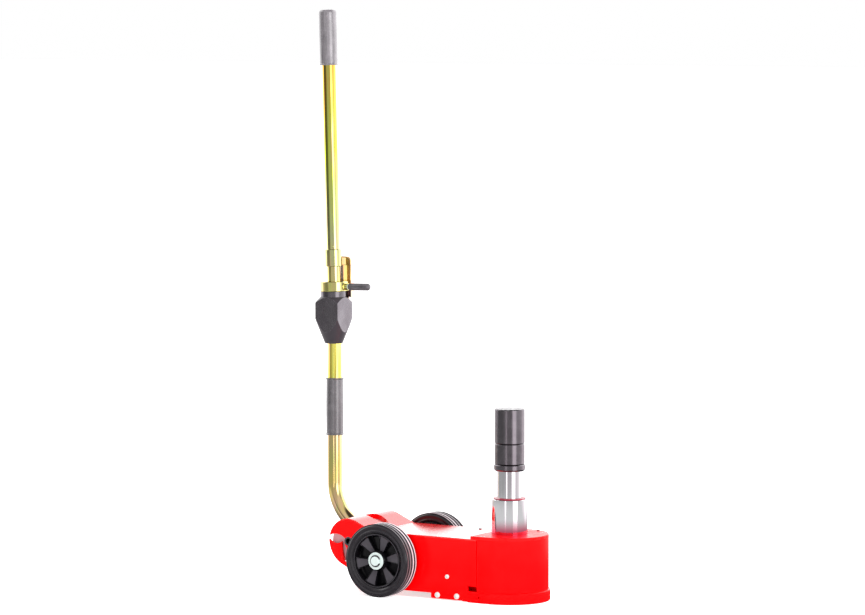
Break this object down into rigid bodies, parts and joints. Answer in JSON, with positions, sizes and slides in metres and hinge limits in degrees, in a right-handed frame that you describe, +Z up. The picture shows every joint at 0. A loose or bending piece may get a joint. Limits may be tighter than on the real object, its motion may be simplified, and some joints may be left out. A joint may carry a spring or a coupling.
{
  "type": "air-hydraulic truck jack",
  "caption": "Wheeled air-hydraulic jack: telescopic ram on a low foot, pump and air motor behind it, and a tall control handle that tips back.",
  "frame": {"origin": "on the floor under the ram axis, at the centre of the foot's round underside", "axes": "+Z up along the ram; +X forward, away from the handle; +Y to the left side"},
  "size_m": [0.5911, 0.279, 1.2702],
  "materials": {
    "red_paint": "gloss",
    "yellow_zinc": "satin",
    "white_zinc": "satin",
    "valve_black": "satin",
    "black_oxide": "satin",
    "chromed_steel": "polished",
    "machined_steel": "satin",
    "grip_rubber": "matte",
    "tyre_rubber": "matte",
    "rim_plastic": "semi-gloss",
    "lever_plastic": "semi-gloss",
    "bronze": "satin",
    "seal_rubber": "matte",
    "cast_aluminium": "satin",
    "hose_plastic": "matte",
    "pale_nylon": "matte",
    "wiper_red": "semi-gloss"
  },
  "bodies": {
    "chassis": {"base_foot": "red_paint", "tank_shell": "red_paint", "top_cap": "red_paint", "top_screws": "black_oxide", "main_cylinder": "machined_steel", "ram_gland": "bronze", "ram_wiper": "seal_rubber", "right_side_plate": "red_paint", "left_side_plate": "red_paint", "top_cover": "red_paint", "rear_hood": "red_paint", "bottom_bar": "machined_steel", "side_bolts": "white_zinc", "cross_stay": "red_paint", "pivot_tube": "black_oxide", "pump_block": "machined_steel", "delivery_pipe": "machined_steel", "release_valve": "black_oxide", "motor_flange": "machined_steel", "motor_head": "cast_aluminium", "motor_cylinder": "cast_aluminium", "tie_rods": "white_zinc", "axle": "white_zinc", "axle_spacers": "white_zinc", "axle_washers": "white_zinc", "axle_clips": "black_oxide"},
    "ram_stage_1": {"outer_ram": "chromed_steel", "outer_ram_seal": "seal_rubber", "stage_gland": "wiper_red"},
    "ram_stage_2": {"inner_ram": "chromed_steel", "inner_ram_seal": "seal_rubber", "saddle": "black_oxide"},
    "lower_extension": {"extension_45": "black_oxide"},
    "upper_extension": {"extension_75": "black_oxide"},
    "right_wheel": {"right_tyre": "tyre_rubber", "right_rim": "rim_plastic", "right_bush": "bronze"},
    "left_wheel": {"left_tyre": "tyre_rubber", "left_rim": "rim_plastic", "left_bush": "bronze"},
    "handle": {"pivot_barrel": "yellow_zinc", "yoke_discs": "pale_nylon", "lower_tube": "yellow_zinc", "air_lines": "hose_plastic", "lower_grip": "grip_rubber", "valve_housing": "valve_black", "valve_neck": "valve_black", "upper_tube": "yellow_zinc", "coupling_sleeve": "yellow_zinc", "top_grip": "grip_rubber", "air_nipple": "bronze", "guard_plate": "yellow_zinc", "guard_screws": "white_zinc"},
    "control_lever": {"control_collar": "yellow_zinc", "lever_rod": "white_zinc", "lever_grip": "lever_plastic", "valve_spool": "machined_steel"},
    "pump_piston": {"air_piston": "cast_aluminium", "air_piston_seal": "seal_rubber", "pump_plunger": "machined_steel"}
  },
  "joints": [
    {"name": "stage_1_lift", "type": "slide", "parent": "chassis", "child": "ram_stage_1", "axis": [0, 0, 1], "range_m": [-0.073, 0.014]},
    {"name": "stage_2_lift", "type": "slide", "parent": "ram_stage_1", "child": "ram_stage_2", "axis": [0, 0, 1], "range_m": [-0.058, 0.024]},
    {"name": "lower_extension_lift", "type": "slide", "parent": "ram_stage_2", "child": "lower_extension", "axis": [0, 0, 1], "range_m": [0, 0.04]},
    {"name": "upper_extension_lift", "type": "slide", "parent": "lower_extension", "child": "upper_extension", "axis": [0, 0, 1], "range_m": [0, 0.04]},
    {"name": "right_wheel_spin", "type": "hinge", "parent": "chassis", "child": "right_wheel", "pos_m": [-0.257, -0.1125, 0.08], "axis": [0, 1, 0], "continuous": true},
    {"name": "left_wheel_spin", "type": "hinge", "parent": "chassis", "child": "left_wheel", "pos_m": [-0.257, 0.1125, 0.08], "axis": [0, 1, 0], "continuous": true},
    {"name": "handle_tilt", "type": "hinge", "parent": "chassis", "child": "handle", "pos_m": [-0.36, 0, 0.11], "axis": [0, -1, 0], "range_deg": [0, 75]},
    {"name": "lever_turn", "type": "hinge", "parent": "handle", "child": "control_lever", "pos_m": [-0.4512, 0, 0.638], "axis": [-0.0262, 0, 0.9997], "range_deg": [-22, 22], "stiffness_Nm_per_rad": 1.5},
    {"name": "pump_stroke", "type": "slide", "parent": "chassis", "child": "pump_piston", "axis": [1, 0, 0], "range_m": [0, 0.04], "stiffness_N_per_m": 800}
  ]
}
